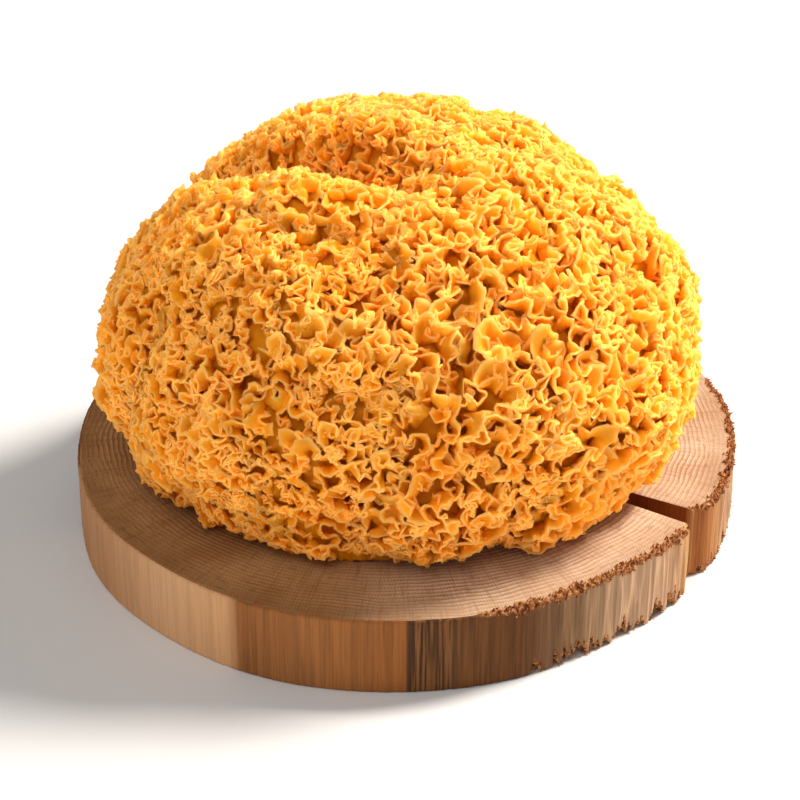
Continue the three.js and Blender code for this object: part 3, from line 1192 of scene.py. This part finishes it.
    def assemble(
        self, radii: Array, heights: Array, share: Array, azimuth: Array, torn: Array, bite: Array
    ) -> bpy.types.Object:
        """Joins the columns and the split's walls into one closed mesh.

        Args:
            radii: distance from the pith, a row for each column.
            heights: height over the foot, in the same order.
            share: place of each column from one wall of the split to the other, 0 to 1.
            azimuth: direction of each column in degrees.
            torn: how torn each point of the side is.
            bite: how much of the top edge is missing in each column.

        Returns:
            The mesh object.
        """
        half = math.tan(math.radians(self.split_angle / 2))
        gape = np.maximum(radii - self.split_start, 0) * half
        open_half = np.arctan2(gape, np.maximum(radii, 1e-9))
        turn = math.radians(self.split_direction) + open_half
        turn = turn + share * (2 * math.pi - 2 * open_half)
        middle = self.middle()
        points = np.stack(
            [radii * np.cos(turn) - middle[0], radii * np.sin(turn) - middle[1], heights], axis=2
        )
        columns, length = radii.shape
        grid = np.arange(columns * length).reshape(columns, length)
        faces = self.quads(grid)
        first_side, last_side = self.rows, self.rows + self.side_rows
        place = np.tile(np.arange(length - 1), (columns - 1, 1))
        slots = ((place >= first_side) & (place < last_side)).astype(int)
        tones = np.array([(*linear(code)[:3], weather) for _, code, weather in self.zones])
        stops = np.array([angle for angle, _, _ in self.zones])
        tone = np.stack([np.interp(azimuth[:, 0], stops, tones[:, c]) for c in range(4)], axis=1)
        tone = np.repeat(tone[:, None], length, axis=1)
        frayed = np.zeros(radii.shape)
        frayed[:, first_side : last_side + 1] = torn
        rimward = np.zeros(radii.shape)
        rimward[:, :first_side] = smoothstep(-8 * MM, -1 * MM, radii - radii[:, first_side, None])[
            :, :first_side
        ]
        shred = frayed * (bite[:, :1] > 0)
        walls = [self.wall(points[0], grid[0], False), self.wall(points[-1], grid[-1], True)]
        vertices = [points.reshape(-1, 3)]
        face_lists, slot_lists, start = [faces], [slots.ravel()], columns * length
        fresh = np.array((*linear("9A531E")[:3], 0.4))
        tone_list = [tone.reshape(-1, 4)]
        for extra, quads in walls:
            quads = np.where(quads >= 0, quads, start - 1 - quads)
            vertices.append(extra)
            face_lists.append(quads)
            slot_lists.append(np.full(len(quads), 2))
            tone_list.append(np.tile(fresh, (len(extra), 1)))
            start += len(extra)
        tail = np.zeros(start - columns * length)
        made = mesh_object(
            "slice_round", np.vstack(vertices), np.vstack(face_lists).tolist(), self.finishes
        )
        mesh = made.data
        mesh.polygons.foreach_set("material_index", np.concatenate(slot_lists).astype(np.int32))
        store(mesh, "tone", np.vstack(tone_list)[:, :3])
        store(mesh, "weather", np.vstack(tone_list)[:, 3])
        store(mesh, "torn", np.r_[frayed.ravel(), tail])
        store(mesh, "rimward", np.r_[rimward.ravel(), tail])
        store(mesh, "shred", np.r_[shred.ravel(), tail])
        self.close(mesh)
        return made

    @staticmethod
    def quads(grid: Array) -> Array:
        """Quads between neighbouring rows and columns of a grid of vertex numbers."""
        parts = (grid[:-1, :-1], grid[:-1, 1:], grid[1:, 1:], grid[1:, :-1])
        return np.stack(parts, axis=2).reshape(-1, 4)

    def wall(self, points: Array, numbers: Array, turned: bool) -> tuple[Array, Array]:
        """Fills one wall of the split between the rows of its column.

        Args:
            points: the column's points.
            numbers: their vertex numbers.
            turned: True for the wall whose faces run the other way.

        Returns:
            New vertices inside the wall, and quads. A negative number -1-n in a quad means the
            new vertex n.
        """
        width, depth = self.rows - self.pith_rows + 1, self.side_rows + 1
        top = np.arange(self.pith_rows, self.rows + 1)
        foot = len(points) - 1 - top
        side = np.arange(self.rows, self.rows + depth)
        grid = np.zeros((width, depth), np.int64)
        grid[:, 0], grid[:, -1], grid[-1] = numbers[top], numbers[foot], numbers[side]
        heights = points[side, 2]
        share = (points[top[0], 2] - heights) / (heights[0] - heights[-1])
        extra = []
        for row in range(width - 1):
            for level in range(1, depth - 1):
                first, last = points[top[row]], points[foot[row]]
                extra.append(first + (last - first) * share[level])
                grid[row, level] = -len(extra)
        quads = self.quads(grid)
        return np.array(extra), quads[:, ::-1] if turned else quads

    @staticmethod
    def close(mesh: bpy.types.Mesh) -> None:
        """Merges the points that meet at the pith and turns every face outwards."""
        body = bmesh.new()
        body.from_mesh(mesh)
        bmesh.ops.remove_doubles(body, verts=body.verts, dist=1e-6)
        bmesh.ops.recalc_face_normals(body, faces=body.faces)
        body.to_mesh(mesh)
        body.free()
        mesh.update()


@dataclass
class Splinters:
    """Fibres that the saw tore loose round the rim and left standing."""

    wood: bpy.types.Object
    finish: bpy.types.Material
    density: float = 4.5e6
    length: float = 0.75 * MM
    thickness: float = 0.24 * MM
    seed: int = 12

    def build(self) -> bpy.types.Object:
        """Scatters the splinters over the torn parts of the slice.

        Returns:
            One plain mesh object of many closed splinters.
        """
        sizes = {
            "Density": self.density,
            "Length": self.length,
            "Thickness": self.thickness,
            "Seed": self.seed,
            "Material": self.finish,
        }
        return grow_mesh("rim_splinters", self.wood.data.copy(), self.tree(), sizes)

    def tree(self) -> bpy.types.NodeTree:
        """Builds the Geometry Nodes tree that sets a splinter on each scattered point."""
        inputs = {**dict.fromkeys(("Density", "Length", "Thickness"), "Float"), "Seed": "Int"}
        inputs["Material"] = "Material"
        tree, add, given = growing_tree("scatter_splinters", inputs)
        seed = given["Seed"]
        shred = add(NAMED, {"Name": "shred"}, 0, data_type="FLOAT")
        weight = add(MATH, [shred, given["Density"]], 0, operation="MULTIPLY")
        links = {"Mesh": given["Geometry"], "Density": weight, "Seed": seed}
        spread = add("GeometryNodeDistributePointsOnFaces", links).outputs
        ends = {"Radius Top": 0.0, "Radius Bottom": given["Thickness"], "Depth": given["Length"]}
        shape = add("GeometryNodeMeshCone", {"Vertices": 4, **ends}, "Mesh")
        links = {0: (-1.0, -1.0, -0.6), 1: (1.0, 1.0, 2.0), "Seed": seed}
        jitter = add("FunctionNodeRandomValue", links, 0, data_type="FLOAT_VECTOR")
        away = add(VECTOR, [spread["Normal"], jitter], 0, operation="ADD")
        turn = add("FunctionNodeAlignRotationToVector", {"Vector": away}, 0, axis="Z")
        links = {2: 0.4, 3: 1.5, "Seed": seed}
        size = add("FunctionNodeRandomValue", links, 1, data_type="FLOAT")
        links = {"Points": spread["Points"], "Instance": shape, "Rotation": turn, "Scale": size}
        made = add("GeometryNodeInstanceOnPoints", links, 0)
        made = add("GeometryNodeRealizeInstances", [made], 0)
        place = add("GeometryNodeInputPosition", out=0)
        raised = add(VECTOR, [place, (-1.0, -1.0, 0.05 * MM)], 0, operation="MAXIMUM")
        made = add(MOVE, {"Geometry": made, "Position": raised}, 0)
        links = {"Geometry": made, "Name": "torn", "Value": 1.0}
        made = add(STORE, links, 0, data_type="FLOAT", domain="POINT")
        made = add(SET_MATERIAL, {"Geometry": made, "Material": given["Material"]}, 0)
        add("NodeGroupOutput", [made])
        return tree


# ---------------------------------------------------------------------------------------------
# Studio
# ---------------------------------------------------------------------------------------------


@dataclass(frozen=True)
class Softbox:
    """One soft lamp that faces the object."""

    name: str
    azimuth: float
    elevation: float
    distance: float
    size: float
    power: float
    tone: str

    def place(self, target: Vector) -> None:
        """Hangs the lamp round the target. Azimuth is in degrees from +X, seen from above."""
        lamp = bpy.data.lights.new(self.name, "AREA")
        lamp.shape = "DISK"
        lamp.size = self.size
        lamp.energy = self.power
        lamp.color = linear(self.tone)[:3]
        made = bpy.data.objects.new(self.name, lamp)
        turn, climb = math.radians(self.azimuth), math.radians(self.elevation)
        away = Vector(
            (math.cos(turn) * math.cos(climb), math.sin(turn) * math.cos(climb), math.sin(climb))
        )
        made.location = target + away * self.distance
        made.rotation_euler = away.to_track_quat("Z", "Y").to_euler()
        bpy.context.scene.collection.objects.link(made)


@dataclass
class Studio:
    """Pale floor, soft lamps and the camera."""

    slice_top: Vector
    radius: float
    camera_elevation: float = 30.0
    camera_distance: float = 7.0
    lens: float = 103.6
    nudge_right: float = -2.0 * MM
    nudge_up: float = 7.6 * MM
    floor_size: float = 6.0
    sky_strength: float = 0.275
    lamps: tuple[Softbox, ...] = field(
        default_factory=lambda: (
            Softbox("key", 24.0, 46.0, 1.6, 0.4, 34.0, "FFF8F0"),
            Softbox("fill", -125.0, 62.0, 1.8, 1.4, 6.5, "FFFDFA"),
        )
    )

    def build(self) -> None:
        """Makes the floor, the sky, the lamps and the camera."""
        self.floor()
        world = bpy.data.worlds.new("studio")
        world.use_nodes = True
        background = world.node_tree.nodes["Background"]
        background.inputs["Color"].default_value = (1.0, 1.0, 1.0, 1.0)
        background.inputs["Strength"].default_value = self.sky_strength
        bpy.context.scene.world = world
        for lamp in self.lamps:
            lamp.place(self.slice_top)
        self.camera()
        bpy.context.scene.view_settings.view_transform = "Standard"

    def floor(self) -> None:
        """Lays the pale floor just under the slice."""
        half = self.floor_size / 2
        corners = np.array([(-half, -half, 0), (half, -half, 0), (half, half, 0), (-half, half, 0)])
        finish = bpy.data.materials.new("pale_floor")
        finish.use_nodes = True
        shader = finish.node_tree.nodes["Principled BSDF"]
        shader.inputs["Base Color"].default_value = linear("F6F6F5")
        shader.inputs["Roughness"].default_value = 0.9
        made = mesh_object("floor", corners, [(0, 1, 2, 3)], [finish])

    def camera(self) -> None:
        """Sets the camera in front of the slice, looking down at it."""
        climb = math.radians(self.camera_elevation)
        ahead = Vector((0, math.cos(climb), -math.sin(climb)))
        right, up = Vector((1, 0, 0)), Vector((0, math.sin(climb), math.cos(climb)))
        data = bpy.data.cameras.new("camera")
        data.lens = self.lens
        data.sensor_width = 36.0
        made = bpy.data.objects.new("camera", data)
        made.location = (
            self.slice_top
            - ahead * self.camera_distance * self.radius
            + right * self.nudge_right
            + up * self.nudge_up
        )
        made.rotation_euler = (math.radians(90 - self.camera_elevation), 0, 0)
        bpy.context.scene.collection.objects.link(made)
        bpy.context.scene.camera = made


# ---------------------------------------------------------------------------------------------
# Assembly
# ---------------------------------------------------------------------------------------------


def write_sizes() -> None:
    """Brings the view layer up to date."""
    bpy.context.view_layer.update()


def main() -> None:
    """Builds the head, the slice and the studio in order."""
    logging.basicConfig(level=logging.INFO, format="%(name)s: %(message)s")
    flesh = FungusFlesh().material()
    shape = HeadShape.from_frame()
    lines = FrondLines(shape)
    for piece in Fronds(shape, lines, flesh).build():
        declare(piece, HEAD_NODE)
    declare(Core(shape, lines, flesh).build(), HEAD_NODE)
    low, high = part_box(SLICE_NODE)
    side = LongGrain("wood_side", "2E1B0D").material()
    split = LongGrain("wood_split", "70380F", streak=7 * MM).material()
    wood = LogSlice(high.z - low.z, [EndGrain().material(), side, split]).build()
    declare(wood, SLICE_NODE)
    declare(Splinters(wood, side).build(), SLICE_NODE)
    top = Vector(((low.x + high.x) / 2, (low.y + high.y) / 2, high.z))
    Studio(slice_top=top, radius=(high.x - low.x + high.y - low.y) / 4).build()
    write_sizes()


if __name__ == "__main__":
    main()
